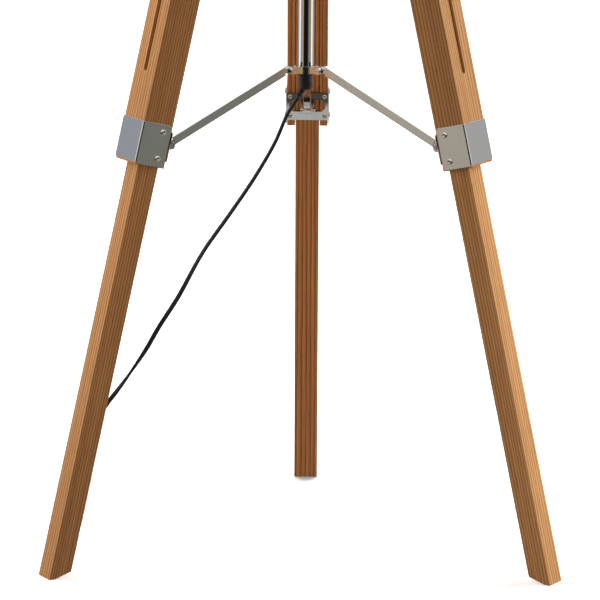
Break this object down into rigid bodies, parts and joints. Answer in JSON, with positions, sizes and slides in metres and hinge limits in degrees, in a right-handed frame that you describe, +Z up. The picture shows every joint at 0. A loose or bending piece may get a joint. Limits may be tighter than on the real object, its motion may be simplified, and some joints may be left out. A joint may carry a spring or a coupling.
{
  "type": "tripod floor lamp",
  "caption": "Tripod floor lamp with telescoping wooden legs, a column with a sliding strut collar, a drum shade and a mains lead.",
  "frame": {"origin": "centre of the bounding box on the floor", "axes": "+Z up along the column, +Y from the front of the lamp towards its back leg"},
  "size_m": [0.5316, 0.5098, 1.369],
  "materials": {
    "leg_wood": "oiled, straight grain",
    "plated_steel": "bright plated, lightly worn",
    "plated_aluminium": "polished casting",
    "black_plastic": "satin black",
    "cord_rubber": "satin black",
    "shade_fabric": "plain woven linen",
    "opal_glass": "opal",
    "bulb_brass": "plain"
  },
  "bodies": {
    "lamp": {"column_tube": "plated_steel", "end_cap": "black_plastic", "cord_gland": "cord_rubber", "cap_screw": "black_plastic", "head_hub": "plated_aluminium", "column_nut": "plated_steel", "lamp_holder": "black_plastic", "bulb_cap": "bulb_brass", "bulb_globe": "opal_glass", "shade_spider": "plated_steel", "shade_ring_nut": "black_plastic", "shade_drum": "shade_fabric", "shade_top_wire": "plated_steel", "head_pin_back": "plated_steel", "head_pin_left": "plated_steel", "head_pin_right": "plated_steel", "cord_lead": "cord_rubber", "cord_hank": "cord_rubber", "hank_tie": "black_plastic", "cord_tail": "cord_rubber", "mains_plug": "cord_rubber"},
    "switch": {"switch_knob": "black_plastic"},
    "collar": {"collar": "plated_steel", "collar_bushing": "black_plastic", "collar_pin_back": "plated_steel", "collar_pin_left": "plated_steel", "collar_pin_right": "plated_steel"},
    "leg_back": {"upper_leg_back": "leg_wood", "leg_hinge_block_back": "plated_aluminium", "leg_bracket_back": "plated_steel", "strut_plate_back": "plated_steel"},
    "leg_left": {"upper_leg_left": "leg_wood", "leg_hinge_block_left": "plated_aluminium", "leg_bracket_left": "plated_steel", "strut_plate_left": "plated_steel"},
    "leg_right": {"upper_leg_right": "leg_wood", "leg_hinge_block_right": "plated_aluminium", "leg_bracket_right": "plated_steel", "strut_plate_right": "plated_steel"},
    "extension_back": {"lower_leg_back": "leg_wood", "lock_bolt_back": "plated_steel"},
    "extension_left": {"lower_leg_left": "leg_wood", "lock_bolt_left": "plated_steel"},
    "extension_right": {"lower_leg_right": "leg_wood", "lock_bolt_right": "plated_steel"},
    "knob_back": {"lock_knob_back": "black_plastic"},
    "knob_left": {"lock_knob_left": "black_plastic"},
    "knob_right": {"lock_knob_right": "black_plastic"},
    "strut_back": {"strut_back": "plated_steel", "strut_axle_back": "plated_steel"},
    "strut_left": {"strut_left": "plated_steel", "strut_axle_left": "plated_steel"},
    "strut_right": {"strut_right": "plated_steel", "strut_axle_right": "plated_steel"}
  },
  "joints": [
    {"name": "leg_hinge_back", "type": "hinge", "parent": "lamp", "child": "leg_back", "pos_m": [0, 0.00129, 1.0012], "axis": [-1, 0, 0], "range_deg": [0, 6]},
    {"name": "leg_hinge_left", "type": "hinge", "parent": "lamp", "child": "leg_left", "pos_m": [-0.03997, -0.06794, 1.0012], "axis": [0.5, -0.866, 0], "range_deg": [0, 6.01]},
    {"name": "leg_hinge_right", "type": "hinge", "parent": "lamp", "child": "leg_right", "pos_m": [0.03997, -0.06794, 1.0012], "axis": [0.5, 0.866, 0], "range_deg": [0, 6.01]},
    {"name": "collar_slide", "type": "slide", "parent": "lamp", "child": "collar", "axis": [0, 0, 1], "range_m": [0, 0.0568]},
    {"name": "strut_hinge_back", "type": "hinge", "parent": "collar", "child": "strut_back", "pos_m": [0, -0.02676, 0.501], "axis": [-1, 0, 0], "range_deg": [0, 33.4]},
    {"name": "strut_hinge_left", "type": "hinge", "parent": "collar", "child": "strut_left", "pos_m": [-0.01568, -0.05391, 0.501], "axis": [0.5, -0.866, 0], "range_deg": [0, 33.4]},
    {"name": "strut_hinge_right", "type": "hinge", "parent": "collar", "child": "strut_right", "pos_m": [0.01568, -0.05391, 0.501], "axis": [0.5, 0.866, 0], "range_deg": [0, 33.4]},
    {"name": "leg_slide_back", "type": "slide", "parent": "leg_back", "child": "extension_back", "axis": [0, -0.2348, 0.972], "range_m": [-0.165, 0.165]},
    {"name": "leg_slide_left", "type": "slide", "parent": "leg_left", "child": "extension_left", "axis": [0.2033, 0.1174, 0.972], "range_m": [-0.165, 0.165]},
    {"name": "leg_slide_right", "type": "slide", "parent": "leg_right", "child": "extension_right", "axis": [-0.2033, 0.1174, 0.972], "range_m": [-0.165, 0.165]},
    {"name": "lock_turn_back", "type": "hinge", "parent": "extension_back", "child": "knob_back", "pos_m": [0, 0.07948, 0.67751], "axis": [0, 0.972, 0.2348], "range_deg": [0, 360]},
    {"name": "lock_turn_left", "type": "hinge", "parent": "extension_left", "child": "knob_left", "pos_m": [-0.10768, -0.10703, 0.67751], "axis": [-0.8418, -0.486, 0.2348], "range_deg": [0, 360]},
    {"name": "lock_turn_right", "type": "hinge", "parent": "extension_right", "child": "knob_right", "pos_m": [0.10768, -0.10703, 0.67751], "axis": [0.8418, -0.486, 0.2348], "range_deg": [0, 360]},
    {"name": "switch_turn", "type": "hinge", "parent": "lamp", "child": "switch", "pos_m": [0, -0.06886, 1.0912], "axis": [0, -1, 0], "range_deg": [0, 90]}
  ],
  "couplings": [
    {"joint": "leg_hinge_left", "follows": "leg_hinge_back", "ratio": 1},
    {"joint": "leg_hinge_right", "follows": "leg_hinge_back", "ratio": 1},
    {"joint": "collar_slide", "follows": "leg_hinge_back", "m_per_rad": 0.54164},
    {"joint": "strut_hinge_back", "follows": "leg_hinge_back", "ratio": 5.5511},
    {"joint": "strut_hinge_left", "follows": "leg_hinge_back", "ratio": 5.5511},
    {"joint": "strut_hinge_right", "follows": "leg_hinge_back", "ratio": 5.5511}
  ]
}
